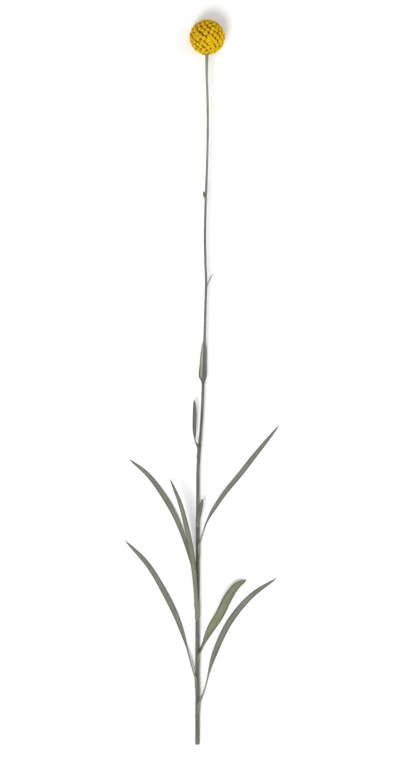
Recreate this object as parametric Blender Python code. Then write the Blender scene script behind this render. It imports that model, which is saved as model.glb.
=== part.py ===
"""A single billy buttons stem, picked near the ground and laid down on a table.

The stem lies along +Y with its cut end at -Y and its round yellow head at +Y. +X is the right side
and +Z points up. The head, the cut end and the lower leaves touch the table at z = 0.
Paths and widths below are in millimetres, measured along Y from the cut end.
"""

import math
import random

import bmesh
import bpy
import numpy as np

MM = 0.001
CLEARANCE = 0.3

# The whole cut stem
CUT_LENGTH = 500.0
OUTLINE_MIDDLE = (0.28, 249.85)

# Flower head
HEAD_RADIUS = 12.5
HEAD_CENTRE = (3.9, CUT_LENGTH - HEAD_RADIUS, 12.15)
HEAD_CORE_RADIUS = 10.7
FLORET_GROUPS = 166
GROUP_SIDES = 6
GROUP_RADIUS = 1.6
GROUP_DIP = 0.18
BARE_CAP_RADIUS = 2.5
SOCKET_DEPTH = 5.0
HEAD_SEED = 11
# A floret group's rings, from its root in the core to its top: height below the top, share of its radius
GROUP_PROFILE = ((-3.00, 0.55), (-1.30, 1.00), (-0.40, 0.80), (-0.04, 0.36))

# Stem
STEM_SIDES = 12
STEM_STATIONS = 72
STEM_AXIS = (
    (-2.9, 0.0, 1.50),
    (-2.9, 10.0, 2.05),
    (-2.9, 22.0, 2.60),
    (-2.9, 45.0, 2.95),
    (-2.9, 80.0, 3.05),
    (-2.7, 130.0, 3.25),
    (-2.6, 170.0, 3.55),
    (-2.4, 192.0, 3.85),
    (-0.9, 212.0, 4.25),
    (0.2, 228.0, 4.60),
    (0.9, 246.0, 5.05),
    (2.0, 279.0, 5.95),
    (2.7, 305.0, 6.65),
    (3.1, 319.0, 7.05),
    (2.6, 333.0, 7.50),
    (2.3, 350.0, 8.00),
    (2.6, 368.0, 8.60),
    (3.5, 393.0, 9.45),
    (4.2, 420.0, 10.35),
    (4.2, 438.0, 10.95),
    (3.5, 466.0, 11.70),
    HEAD_CENTRE,
)
STEM_THICKNESS = (
    (0.0, 1.50),
    (60.0, 1.45),
    (120.0, 1.38),
    (170.0, 1.22),
    (215.0, 1.02),
    (260.0, 0.88),
    (330.0, 0.80),
    (430.0, 0.78),
    (462.0, 0.86),
    (471.0, 1.05),
    (CUT_LENGTH, 1.12),
)

# Leaf blades
BLADE_EDGE = 0.6
BLADE_KEEL = 0.25
SHEATH_STEPS = 3
OPENING_STEPS = 3
BLADE_STEPS = 12
BLADE_LANES = 4
SHEATH_PLAY = 0.08
OPENING_LENGTH = 8.0
TURNED_BY = 0.55
SHEATH_FOOT_SHARE = 0.65
BLADE_OUTLINE = (
    (0.00, 0.80),
    (0.20, 0.84),
    (0.50, 1.00),
    (0.75, 0.92),
    (0.90, 0.62),
    (1.00, 0.16),
)
BOAT_OUTLINE = (
    (0.00, 1.00),
    (0.20, 1.00),
    (0.45, 0.84),
    (0.70, 0.72),
    (0.88, 0.50),
    (1.00, 0.16),
)

# Each leaf: where its sheath starts, how long the sheath is, the side of the stem it grows from
# (0 right, 90 up, 180 left, 270 underneath), how far the sheath clasps, the midrib beyond the sheath,
# the blade's width, how far the open blade is rolled, and where its upper face looks. The boat-shaped
# leaf also opens sooner, and has an outline of its own that is widest near its foot.
LEAVES = {
    "leaf_01_right": dict(
        base=20.0,
        sheath=6.0,
        side=15.0,
        clasp=105.0,
        midrib=(
            (1.8, 38.0, 2.5),
            (8.0, 60.0, 1.7),
            (19.0, 84.0, 1.1),
            (35.0, 103.0, 0.6),
            (52.0, 115.0, 0.4),
        ),
        width=3.8,
        roll=26.0,
        facing=(0.0, 0.1, 1.0),
    ),
    "leaf_02_left": dict(
        base=37.0,
        sheath=7.0,
        side=172.0,
        clasp=105.0,
        midrib=(
            (-7.4, 57.0, 2.5),
            (-13.8, 79.0, 1.7),
            (-24.0, 102.0, 1.1),
            (-38.0, 125.0, 0.6),
            (-53.0, 141.0, 0.4),
        ),
        width=3.4,
        roll=28.0,
        facing=(0.1, 0.0, 1.0),
    ),
    "leaf_03_broad_right": dict(
        base=54.0,
        sheath=7.0,
        side=-8.0,
        clasp=105.0,
        midrib=(
            (1.0, 69.0, 4.2),
            (5.2, 78.0, 6.2),
            (12.0, 90.0, 8.2),
            (18.2, 102.0, 8.4),
            (25.0, 110.5, 5.6),
            (31.0, 113.5, 0.7),
        ),
        width=6.0,
        roll=30.0,
        facing=(0.0, 0.15, 1.0),
    ),
    "leaf_04_front": dict(
        base=84.0,
        sheath=8.0,
        side=100.0,
        clasp=105.0,
        midrib=(
            (-3.9, 104.0, 7.4),
            (-5.6, 124.0, 11.0),
            (-9.4, 147.0, 14.4),
            (-15.0, 168.0, 15.6),
            (-21.5, 184.0, 14.0),
        ),
        width=3.4,
        roll=28.0,
        facing=(0.2, 0.3, -1.0),
    ),
    "leaf_05_left": dict(
        base=104.0,
        sheath=9.0,
        side=187.0,
        clasp=105.0,
        midrib=(
            (-7.4, 126.0, 3.0),
            (-14.0, 148.0, 2.3),
            (-25.0, 170.0, 1.4),
            (-38.0, 187.0, 0.7),
            (-50.0, 197.0, 0.4),
        ),
        width=3.2,
        roll=28.0,
        facing=(0.0, 0.1, 1.0),
    ),
    "leaf_06_long_right": dict(
        base=127.0,
        sheath=10.0,
        side=2.0,
        clasp=105.0,
        midrib=(
            (0.7, 147.0, 3.6),
            (6.0, 159.0, 3.3),
            (11.2, 167.0, 2.8),
            (32.0, 193.5, 1.3),
            (53.6, 220.5, 0.4),
        ),
        width=3.0,
        roll=28.0,
        facing=(0.0, 0.0, 1.0),
    ),
    "leaf_07_short_front": dict(
        base=149.0,
        sheath=6.0,
        side=84.0,
        clasp=80.0,
        midrib=((-1.5, 160.0, 6.3), (-0.4, 165.0, 6.9), (0.7, 170.0, 7.1)),
        width=2.2,
        roll=32.0,
        facing=(0.0, 0.0, -1.0),
    ),
    "leaf_08_upper_left": dict(
        base=195.0,
        sheath=9.0,
        side=155.0,
        clasp=110.0,
        midrib=((-4.2, 210.0, 5.1), (-4.9, 219.0, 5.7), (-4.8, 230.0, 6.3), (-5.0, 238.5, 6.6)),
        width=2.6,
        roll=30.0,
        facing=(0.5, 0.0, 1.0),
    ),
    "leaf_09_boat_behind": dict(
        base=247.0,
        sheath=3.0,
        side=270.0,
        clasp=118.0,
        midrib=((0.9, 255.0, 3.3), (1.1, 262.0, 2.8), (1.5, 270.0, 2.5), (1.8, 279.5, 2.4)),
        width=5.4,
        opening=4.5,
        outline=BOAT_OUTLINE,
        roll=58.0,
        facing=(0.0, 0.0, 1.0),
    ),
}

# Two small bracts that are one with the upper stem: centre line, width and depth at its widest
BRACTS = (
    dict(
        line=((2.9, 313.0, 6.9), (4.0, 317.5, 7.1), (6.0, 321.8, 7.6), (8.4, 325.8, 8.1)),
        width=1.0,
        depth=0.7,
    ),
    dict(
        line=((2.6, 376.5, 8.9), (2.1, 378.5, 9.2), (1.7, 380.3, 9.4), (1.4, 382.0, 9.5)),
        width=2.0,
        depth=0.7,
    ),
)
BRACT_SIDES = 6
BRACT_OUTLINE = ((0.0, 0.5), (0.3, 1.0), (0.55, 0.9), (0.8, 0.6), (1.0, 0.25))

# Colour as linear red, green and blue, then roughness
HEAD_FINISH = (0.72, 0.43, 0.02), 0.85
STEM_FINISH = (0.22, 0.25, 0.16), 0.9
LEAF_FINISH = (0.19, 0.22, 0.16), 0.9


def smooth_through(knots, values, at):
    """Reads a smooth curve that passes through the values at their knots."""
    knots = np.asarray(knots, float)
    values = np.asarray(values, float)
    slopes = np.gradient(values, knots, axis=0)
    i = int(np.clip(np.searchsorted(knots, at) - 1, 0, len(knots) - 2))
    span = knots[i + 1] - knots[i]
    t = (at - knots[i]) / span
    rise = 3 * t**2 - 2 * t**3
    bend_out = (t**3 - 2 * t**2 + t) * span
    bend_in = (t**3 - t**2) * span
    return (1 - rise) * values[i] + rise * values[i + 1] + bend_out * slopes[i] + bend_in * slopes[i + 1]


def ease(start, end, at):
    t = np.clip((at - start) / (end - start), 0.0, 1.0)
    return t * t * (3 - 2 * t)


def unit(vector):
    return vector / np.linalg.norm(vector)


def stem_centre(y):
    axis = np.array(STEM_AXIS)
    return smooth_through(axis[:, 1], axis, y)


def stem_direction(y):
    step = 0.5
    low, high = max(y - step, 0.0), min(y + step, HEAD_CENTRE[1])
    return unit(stem_centre(high) - stem_centre(low))


def stem_radius(y):
    lengths, radii = zip(*STEM_THICKNESS)
    return float(np.interp(y, lengths, radii))


def around_stem(y, degrees, distance):
    """A point beside the stem, 0 degrees to its right and 90 above it."""
    along = stem_direction(y)
    right = unit(np.cross(along, (0.0, 0.0, 1.0)))
    up = np.cross(right, along)
    angle = math.radians(degrees)
    outward = math.cos(angle) * right + math.sin(angle) * up
    return stem_centre(y) + distance * outward


def plant_material(name, finish):
    colour, roughness = finish
    material = bpy.data.materials.new(name)
    material.use_nodes = True
    shader = material.node_tree.nodes["Principled BSDF"]
    shader.inputs["Base Color"].default_value = (*colour, 1.0)
    shader.inputs["Roughness"].default_value = roughness
    shader.inputs["Metallic"].default_value = 0.0
    return material


def solid(name, points, faces, origin=(0.0, 0.0, 0.0), collection=None):
    """A closed mesh object whose own origin is where that piece is rooted."""
    origin = np.asarray(origin, float)
    mesh = bpy.data.meshes.new(name)
    mesh.from_pydata([tuple((np.asarray(p) - origin) * MM) for p in points], [], faces)
    shape = bmesh.new()
    shape.from_mesh(mesh)
    bmesh.ops.recalc_face_normals(shape, faces=shape.faces)
    shape.to_mesh(mesh)
    shape.free()
    obj = bpy.data.objects.new(name, mesh)
    obj.location = origin * MM
    (collection or bpy.context.scene.collection).objects.link(obj)
    return obj


def loft(rings):
    """Faces that skin closed rings of equal count and cap both ends."""
    count = len(rings[0])
    faces = [tuple(reversed(range(count)))]
    for ring in range(len(rings) - 1):
        for k in range(count):
            a = ring * count + k
            b = ring * count + (k + 1) % count
            faces.append((a, b, b + count, a + count))
    last = (len(rings) - 1) * count
    faces.append(tuple(range(last, last + count)))
    return [point for ring in rings for point in ring], faces


def join_all(body, repeats):
    """Fuses every object of the collection into the body, then removes them."""
    union = body.modifiers.new("join", "BOOLEAN")
    union.operation = "UNION"
    union.operand_type = "COLLECTION"
    union.collection = repeats
    union.solver = "EXACT"
    bake_modifiers(body)
    for piece in list(repeats.objects):
        bpy.data.objects.remove(piece, do_unlink=True)
    bpy.data.collections.remove(repeats)


def bake_modifiers(body):
    graph = bpy.context.evaluated_depsgraph_get()
    finished = bpy.data.meshes.new_from_object(body.evaluated_get(graph))
    body.modifiers.clear()
    body.data = finished


def shade(obj, material):
    obj.data.materials.clear()
    obj.data.materials.append(material)
    obj.data.shade_smooth()
    obj.data.set_sharp_from_angle(angle=math.radians(50))


def hidden_collection(name):
    collection = bpy.data.collections.new(name)
    bpy.context.scene.collection.children.link(collection)
    collection.hide_render = True
    return collection


def along_line(line, at):
    """The place and direction at a share of a smooth line through the points."""
    knots = np.linspace(0.0, 1.0, len(line))
    ahead = smooth_through(knots, line, min(at + 0.05, 1.0))
    behind = smooth_through(knots, line, max(at - 0.05, 0.0))
    return smooth_through(knots, line, at), unit(ahead - behind)


def build_bract(bract, repeats):
    """A slim pointed blade whose lower end is sunk in the stem."""
    line = np.array(bract["line"])
    rings = []
    for at, fullness in BRACT_OUTLINE:
        centre, along = along_line(line, at)
        across = unit(np.cross(along, (0.0, 0.0, 1.0)))
        up = np.cross(across, along)
        ring = []
        for k in range(BRACT_SIDES):
            angle = 2 * math.pi * (k + 0.5) / BRACT_SIDES
            sideways = 0.5 * bract["width"] * fullness * math.cos(angle)
            upward = 0.5 * bract["depth"] * max(fullness, 0.5) * math.sin(angle)
            ring.append(centre + sideways * across + upward * up)
        rings.append(ring)
    points, faces = loft(rings)
    return solid("bract", points, faces, collection=repeats)


def ring_round_stem(y, spare=0.0):
    """A ring of points round the stem, the first one underneath, none below the table."""
    ring = []
    for k in range(STEM_SIDES):
        point = around_stem(y, 360.0 * k / STEM_SIDES - 90.0, stem_radius(y) + spare)
        point[2] = max(point[2], 0.0)
        ring.append(point)
    return ring


def build_stem(material):
    """The stalk, from its cut end to just short of the bottom of its socket in the head."""
    top = HEAD_CENTRE[1] - HEAD_CORE_RADIUS + SOCKET_DEPTH - CLEARANCE
    points, faces = loft([ring_round_stem(y) for y in np.linspace(0.0, top, STEM_STATIONS)])
    stem = solid("stem", points, faces)
    bracts = hidden_collection("bracts")
    for bract in BRACTS:
        build_bract(bract, bracts)
    join_all(stem, bracts)
    shade(stem, material)
    return stem


def leaf_midrib(leaf):
    """The midrib's points, from the foot of the sheath to the tip, with how far each lies along it."""
    seat_levels = leaf["base"] + leaf["sheath"] * np.array([0.0, 0.5, 1.0])
    seat = [around_stem(y, leaf["side"], stem_radius(y) + CLEARANCE) for y in seat_levels]
    points = np.array(seat + [np.array(point) for point in leaf["midrib"]])
    steps = np.linalg.norm(np.diff(points, axis=0), axis=1)
    return points, np.concatenate([[0.0], np.cumsum(steps)])


def leaf_row(here, along, facing, radius, half, keel):
    """Upper and lower points straight across a leaf that is rolled to the radius."""
    across = np.cross(along, facing)
    centre = here + radius * facing
    upper, lower = [], []
    for u in np.linspace(-1.0, 1.0, BLADE_LANES + 1):
        angle = u * half / radius
        towards = math.sin(angle) * across - math.cos(angle) * facing
        depth = BLADE_EDGE + keel * (1 - u * u)
        top = centre + radius * towards
        bottom = centre + (radius + depth) * towards
        lift = np.array([0.0, 0.0, max(0.0, -min(top[2], bottom[2]))])
        upper.append(top + lift)
        lower.append(bottom + lift)
    return upper, lower


def build_leaf(name, leaf, material):
    """One leaf: a half-closed sheath round the stem that opens into a shallow, keeled, pointed blade."""
    points, travelled = leaf_midrib(leaf)
    length = travelled[-1]
    sheath_end = travelled[2]
    seat_radius = stem_radius(leaf["base"] + leaf["sheath"] / 2) + CLEARANCE + SHEATH_PLAY
    open_radius = 0.5 * leaf["width"] / math.radians(leaf["roll"])
    inward = unit(stem_centre(leaf["base"]) - points[0])
    final_facing = unit(np.array(leaf["facing"]))
    outline_at, outline = zip(*leaf.get("outline", BLADE_OUTLINE))
    upper, lower = [], []
    blade_start = sheath_end + leaf.get("opening", OPENING_LENGTH)
    sheath_rows = np.linspace(0.0, sheath_end, SHEATH_STEPS, endpoint=False)
    opening_rows = np.linspace(sheath_end, blade_start, OPENING_STEPS, endpoint=False)
    stations = np.concatenate([sheath_rows, opening_rows, np.linspace(blade_start, length, BLADE_STEPS)])
    for s in stations:
        ahead = smooth_through(travelled, points, min(s + 0.4, length))
        behind = smooth_through(travelled, points, max(s - 0.4, 0.0))
        along = unit(ahead - behind)
        opened = ease(sheath_end, blade_start, s)
        turned = ease(sheath_end, TURNED_BY * length, s)
        facing = (1 - turned) * inward + turned * final_facing
        facing = unit(facing - np.dot(facing, along) * along)
        radius = seat_radius ** (1 - opened) * open_radius**opened
        clasp = math.radians(leaf["clasp"]) * np.interp(s, (0.0, 0.6 * sheath_end), (SHEATH_FOOT_SHARE, 1.0))
        blade_share = max(s - sheath_end, 0.0) / (length - sheath_end)
        blade_half = 0.5 * leaf["width"] * smooth_through(outline_at, outline, blade_share)
        half = (1 - opened) * seat_radius * clasp + opened * blade_half
        here = smooth_through(travelled, points, s)
        row = leaf_row(here, along, facing, radius, min(half, radius * clasp), BLADE_KEEL * opened)
        upper += row[0]
        lower += row[1]
    faces = blade_faces(len(stations), BLADE_LANES + 1)
    obj = solid(name, upper + lower, faces, origin=points[0])
    shade(obj, material)
    return obj


def blade_faces(rows, columns):
    """Triangles for a thin blade, split the same way on both faces, with its rim closed."""
    under = rows * columns
    faces = []
    for r in range(rows - 1):
        for c in range(columns - 1):
            a = r * columns + c
            b = a + 1
            d = a + columns
            e = d + 1
            faces += [(a, b, e), (a, e, d)]
            faces += [(under + a, under + e, under + b), (under + a, under + d, under + e)]
    rim = list(range(columns))
    rim += [r * columns + columns - 1 for r in range(1, rows)]
    rim += [(rows - 1) * columns + c for c in range(columns - 2, -1, -1)]
    rim += [r * columns for r in range(rows - 2, 0, -1)]
    for k, a in enumerate(rim):
        b = rim[(k + 1) % len(rim)]
        faces += [(a, under + a, under + b), (a, under + b, b)]
    return faces


def build_floret_group(top, outward, scale, turn, repeats):
    """One bead of tiny florets: a six-sided knob on a root that is sunk in the head's core."""
    side = unit(np.cross(outward, (0.31, 0.17, 0.93)))
    other = np.cross(outward, side)
    rings = []
    for height, share in GROUP_PROFILE:
        ring = []
        for k in range(GROUP_SIDES):
            angle = turn + 2 * math.pi * k / GROUP_SIDES
            sideways = math.cos(angle) * side + math.sin(angle) * other
            point = top + height * outward + GROUP_RADIUS * scale * share * sideways
            point[2] = max(point[2], 0.0)
            ring.append(point)
        rings.append(ring)
    points, faces = loft(rings)
    return solid("floret_group", points, faces, collection=repeats)


def build_head_core():
    """The solid middle of the head, which the floret groups stand out of."""
    mesh = bpy.data.meshes.new("flower_head")
    ball = bmesh.new()
    bmesh.ops.create_icosphere(ball, subdivisions=2, radius=HEAD_CORE_RADIUS * MM)
    ball.to_mesh(mesh)
    ball.free()
    core = bpy.data.objects.new("flower_head", mesh)
    core.location = np.array(HEAD_CENTRE) * MM
    bpy.context.scene.collection.objects.link(core)
    return core


def cut_socket(head):
    """A plain hole up the middle of the head's underside, for the top of the stem."""
    foot = HEAD_CENTRE[1] - 1.3 * HEAD_RADIUS
    top = HEAD_CENTRE[1] - HEAD_CORE_RADIUS + SOCKET_DEPTH
    points, faces = loft([ring_round_stem(y, CLEARANCE) for y in np.linspace(foot, top, 8)])
    socket = solid("stem_socket", points, faces)
    socket.hide_render = True
    socket.display_type = "WIRE"
    bpy.context.view_layer.update()
    cut = head.modifiers.new("socket", "BOOLEAN")
    cut.operation = "DIFFERENCE"
    cut.object = socket
    cut.solver = "EXACT"
    bake_modifiers(head)
    bpy.data.objects.remove(socket, do_unlink=True)


def build_head(material):
    """A ball core with a golden-angle spiral of floret groups standing out of it."""
    head = build_head_core()
    centre = np.array(HEAD_CENTRE)
    axis = stem_direction(HEAD_CENTRE[1])
    side = unit(np.cross(axis, (0.0, 0.0, 1.0)))
    up = np.cross(side, axis)
    groups = hidden_collection("floret_groups")
    draw = random.Random(HEAD_SEED)
    golden_angle = math.pi * (3 - math.sqrt(5))
    lowest = -math.sqrt(1 - (BARE_CAP_RADIUS / HEAD_RADIUS) ** 2)
    for k in range(FLORET_GROUPS):
        height = 1 - (1 - lowest) * (k + 0.5) / FLORET_GROUPS
        spread = math.sqrt(1 - height * height)
        turn = golden_angle * k
        outward = height * axis + spread * (math.cos(turn) * side + math.sin(turn) * up)
        top = centre + (HEAD_RADIUS - abs(draw.gauss(0.0, GROUP_DIP))) * outward
        build_floret_group(top, outward, draw.uniform(0.93, 1.05), draw.uniform(0.0, 1.0), groups)
    bpy.context.view_layer.update()
    join_all(head, groups)
    cut_socket(head)
    shade(head, material)
    return head


def main():
    for obj in list(bpy.data.objects):
        bpy.data.objects.remove(obj, do_unlink=True)
    stem_felt = plant_material("stem_felt", STEM_FINISH)
    leaf_felt = plant_material("leaf_felt", LEAF_FINISH)
    yellow_florets = plant_material("yellow_florets", HEAD_FINISH)

    pieces = [build_stem(stem_felt), build_head(yellow_florets)]
    for name, leaf in LEAVES.items():
        pieces.append(build_leaf(name, leaf, leaf_felt))

    middle = bpy.data.objects.new("middle_of_the_cut_stem", None)
    bpy.context.scene.collection.objects.link(middle)
    middle.location = (-OUTLINE_MIDDLE[0] * MM, -OUTLINE_MIDDLE[1] * MM, 0.0)
    for piece in pieces:
        piece.parent = middle


main()
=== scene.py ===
import math
import random

import bpy
import numpy as np
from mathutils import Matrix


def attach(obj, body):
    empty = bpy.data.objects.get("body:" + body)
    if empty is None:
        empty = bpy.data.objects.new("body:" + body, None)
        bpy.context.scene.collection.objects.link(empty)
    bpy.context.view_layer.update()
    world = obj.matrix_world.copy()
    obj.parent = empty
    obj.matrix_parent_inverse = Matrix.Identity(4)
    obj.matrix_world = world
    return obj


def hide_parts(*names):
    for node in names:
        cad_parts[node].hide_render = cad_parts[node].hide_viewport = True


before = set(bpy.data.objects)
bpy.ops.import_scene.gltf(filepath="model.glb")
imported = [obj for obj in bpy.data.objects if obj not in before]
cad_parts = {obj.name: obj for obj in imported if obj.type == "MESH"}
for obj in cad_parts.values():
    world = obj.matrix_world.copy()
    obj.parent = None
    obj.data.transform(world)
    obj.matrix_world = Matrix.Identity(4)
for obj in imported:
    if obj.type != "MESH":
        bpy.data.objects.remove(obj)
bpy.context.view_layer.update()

# The stalk
# One long thin stem, cut across near the ground. It is faintly ribbed, thickens a little where each
# leaf clasps it, and widens again where it runs up into the underside of the flower head.
MM = 0.001
LAID_MIDDLE = (0.28, 249.85, 0.0)
HEAD_CENTRE = (3.9, 487.5, 12.15)
STALK_TOP = 481.5
STALK_PATH = (
    (-2.9, 0.0, 1.50),
    (-2.9, 10.0, 2.05),
    (-2.9, 22.0, 2.60),
    (-2.9, 45.0, 2.95),
    (-2.9, 80.0, 3.05),
    (-2.7, 130.0, 3.25),
    (-2.6, 170.0, 3.55),
    (-2.4, 192.0, 3.85),
    (-0.9, 212.0, 4.25),
    (0.2, 228.0, 4.60),
    (0.9, 246.0, 5.05),
    (2.0, 279.0, 5.95),
    (2.7, 305.0, 6.65),
    (3.1, 319.0, 7.05),
    (2.6, 333.0, 7.50),
    (2.3, 350.0, 8.00),
    (2.6, 368.0, 8.60),
    (3.5, 393.0, 9.45),
    (4.2, 420.0, 10.35),
    (4.2, 438.0, 10.95),
    (3.5, 466.0, 11.70),
    HEAD_CENTRE,
)
STALK_THICKNESS = (
    (0.0, 1.50),
    (60.0, 1.45),
    (120.0, 1.38),
    (170.0, 1.22),
    (215.0, 1.02),
    (260.0, 0.88),
    (330.0, 0.80),
    (430.0, 0.78),
    (462.0, 0.86),
    (471.0, 1.05),
    (500.0, 1.12),
)
STALK_SIDES = 36
STALK_RIBS = 9
STALK_RIB_DEPTH = 0.035
LEAF_JOINTS = (20.0, 37.0, 54.0, 84.0, 104.0, 127.0, 149.0, 195.0, 247.0, 314.0, 377.0)
JOINT_SWELLING = 0.07
JOINT_REACH = 2.2
RIBLESS_REACH = 3.5
FLARE_START = 473.5
FLARE_END = 478.5
FLARE_WIDTH = 0.9
CUT_BEVEL = ((0.0, 0.10), (0.05, 0.03), (0.25, 0.0))


def smooth_through(knots, values, at):
    """Reads a smooth curve that passes through the values at their knots."""
    knots = np.asarray(knots, float)
    values = np.asarray(values, float).reshape(len(knots), -1)
    at = np.atleast_1d(np.asarray(at, float))
    slopes = np.gradient(values, knots, axis=0)
    i = np.clip(np.searchsorted(knots, at) - 1, 0, len(knots) - 2)
    span = (knots[i + 1] - knots[i])[:, None]
    t = (at[:, None] - knots[i][:, None]) / span
    rise = 3 * t**2 - 2 * t**3
    bend_out = (t**3 - 2 * t**2 + t) * span
    bend_in = (t**3 - t**2) * span
    return (1 - rise) * values[i] + rise * values[i + 1] + bend_out * slopes[i] + bend_in * slopes[i + 1]


def ease(start, end, at):
    """Runs smoothly from 0 at the start to 1 at the end, and stays there beyond them."""
    t = np.clip((at - start) / (end - start), 0.0, 1.0)
    return t * t * (3 - 2 * t)


def unit(vectors):
    return vectors / np.linalg.norm(vectors, axis=-1, keepdims=True)


def stalk_centre(y):
    path = np.array(STALK_PATH)
    return smooth_through(path[:, 1], path, y)


def stalk_frame(y):
    """Centre, direction, right and up of the stalk at distances from its cut end."""
    y = np.atleast_1d(np.asarray(y, float))
    along = unit(stalk_centre(np.minimum(y + 0.5, HEAD_CENTRE[1])) - stalk_centre(np.maximum(y - 0.5, 0.0)))
    right = unit(np.cross(along, (0.0, 0.0, 1.0)))
    return stalk_centre(y), along, right, np.cross(right, along)


def near_joints(y, reach):
    """How close each level is to a leaf joint: 1 at a joint, falling to 0 over the reach."""
    y = np.asarray(y, float)
    return sum(np.exp(-(((y - joint) / reach) ** 2)) for joint in LEAF_JOINTS)


def stalk_radius(y):
    lengths, radii = zip(*STALK_THICKNESS)
    flare = FLARE_WIDTH * ease(FLARE_START, FLARE_END, y) ** 1.4
    return np.interp(y, lengths, radii) + JOINT_SWELLING * near_joints(y, JOINT_REACH) + flare


def loft_faces(rings, around, cap_start=True):
    """Quads round closed rings of equal count. One face closes the last ring, and one the first if asked."""
    ring = np.arange(rings - 1)[:, None] * around
    k = np.arange(around)[None, :]
    n = (k + 1) % around
    quads = np.stack([ring + k, ring + n, ring + around + n, ring + around + k], axis=-1).reshape(-1, 4)
    faces = [tuple(q) for q in quads.tolist()]
    if cap_start:
        faces.append(tuple(range(around - 1, -1, -1)))
    last = (rings - 1) * around
    faces.append(tuple(range(last, last + around)))
    return faces


def plant_piece(name, points, faces, material, cad_node, notes):
    """A smooth mesh piece from points in millimetres, kept above the table, with named values on them."""
    mesh = bpy.data.meshes.new(name)
    places = np.array(points, float)
    places[:, 2] = np.maximum(places[:, 2], 0.0)
    places = (places - LAID_MIDDLE) * MM
    mesh.from_pydata([tuple(p) for p in places.tolist()], [], faces)
    for key, values in notes.items():
        layer = mesh.attributes.new(key, "FLOAT", "POINT")
        layer.data.foreach_set("value", np.asarray(values, np.float32).ravel())
    mesh.shade_smooth()
    mesh.materials.append(material)
    mesh.update()
    piece = bpy.data.objects.new(name, mesh)
    bpy.context.scene.collection.objects.link(piece)
    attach(piece, "root")
    if cad_node:
        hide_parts(cad_node)


class Finish:
    """A material's node tree, with short ways to add the nodes that the plant's finishes share.

    A mask is a grey ramp, which says how strongly a blend shows.
    """

    def __init__(self, name, roughness, sheen):
        self.material = bpy.data.materials.new(name)
        self.material.use_nodes = True
        self.tree = self.material.node_tree
        self.shader = self.tree.nodes["Principled BSDF"]
        self.shader.inputs["Roughness"].default_value = roughness
        self.shader.inputs["Sheen Weight"].default_value = sheen
        self.shader.inputs["Sheen Roughness"].default_value = 0.6
        self.shader.inputs["Specular IOR Level"].default_value = 0.25
        self.place = self.tree.nodes.new("ShaderNodeTexCoord").outputs["Object"]

    def note(self, key):
        node = self.tree.nodes.new("ShaderNodeAttribute")
        node.attribute_name = key
        return node.outputs["Fac"]

    def math(self, operation, a, b=None, c=None):
        node = self.tree.nodes.new("ShaderNodeMath")
        node.operation = operation
        for slot, value in zip(node.inputs, (a, b, c)):
            if value is None:
                continue
            if isinstance(value, (int, float)):
                slot.default_value = value
            else:
                self.tree.links.new(value, slot)
        return node.outputs[0]

    def stretched(self, scale, where=None):
        node = self.tree.nodes.new("ShaderNodeMapping")
        node.inputs["Scale"].default_value = scale
        self.tree.links.new(where or self.place, node.inputs["Vector"])
        return node.outputs["Vector"]

    def noise(self, scale, detail=3.0, where=None):
        node = self.tree.nodes.new("ShaderNodeTexNoise")
        node.inputs["Scale"].default_value = scale
        node.inputs["Detail"].default_value = detail
        self.tree.links.new(where or self.place, node.inputs["Vector"])
        return node.outputs["Fac"]

    def ramp(self, fac, stops):
        node = self.tree.nodes.new("ShaderNodeValToRGB")
        while len(node.color_ramp.elements) < len(stops):
            node.color_ramp.elements.new(0.5)
        for element, (at, colour) in zip(node.color_ramp.elements, stops):
            element.position = at
            element.color = (*colour, 1.0)
        self.tree.links.new(fac, node.inputs["Fac"])
        return node.outputs["Color"]

    def mask(self, fac, *stops):
        return self.ramp(fac, [(at, (grey, grey, grey)) for at, grey in stops])

    def blend(self, fac, a, b, kind="MIX"):
        node = self.tree.nodes.new("ShaderNodeMix")
        node.data_type = "RGBA"
        node.blend_type = kind
        ends = [s for s in node.inputs if s.type == "RGBA"]
        for slot, value in ((node.inputs["Factor"], fac), (ends[0], a), (ends[1], b)):
            if isinstance(value, tuple):
                slot.default_value = (*value, 1.0)
            elif isinstance(value, (int, float)):
                slot.default_value = value
            else:
                self.tree.links.new(value, slot)
        return next(s for s in node.outputs if s.type == "RGBA")

    def colour(self, value):
        self.tree.links.new(value, self.shader.inputs["Base Color"])

    def bump(self, height, depth_mm, strength):
        node = self.tree.nodes.new("ShaderNodeBump")
        node.inputs["Strength"].default_value = strength
        node.inputs["Distance"].default_value = depth_mm * MM
        self.tree.links.new(height, node.inputs["Height"])
        self.tree.links.new(node.outputs["Normal"], self.shader.inputs["Normal"])


def stalk_finish():
    """Olive and pale under the head, greyer further down, all felted; darker and greener at the foot, partly
    its own colour and partly painted shade as under a tuft of leaves.
    """
    felt = Finish("stalk_felt", 0.92, 0.35)
    along = felt.note("along")
    body = felt.ramp(
        along,
        (
            (0.00, (0.080, 0.088, 0.057)),
            (0.42, (0.074, 0.080, 0.057)),
            (0.53, (0.072, 0.077, 0.056)),
            (0.62, (0.098, 0.101, 0.086)),
            (0.75, (0.105, 0.108, 0.092)),
            (0.86, (0.180, 0.189, 0.128)),
            (1.00, (0.262, 0.284, 0.132)),
        ),
    )
    streaks = felt.noise(900.0, 4.0, felt.stretched((1.0, 0.06, 1.0)))
    body = felt.blend(felt.mask(streaks, (0.45, 0), (0.72, 0.30)), body, (0.33, 0.34, 0.29))
    blotches = felt.noise(140.0, 3.0)
    body = felt.blend(felt.mask(blotches, (0.48, 0), (0.75, 0.45)), body, (0.045, 0.050, 0.030))
    felt.colour(body)
    felt.bump(streaks, 0.06, 0.5)
    return felt.material


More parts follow.
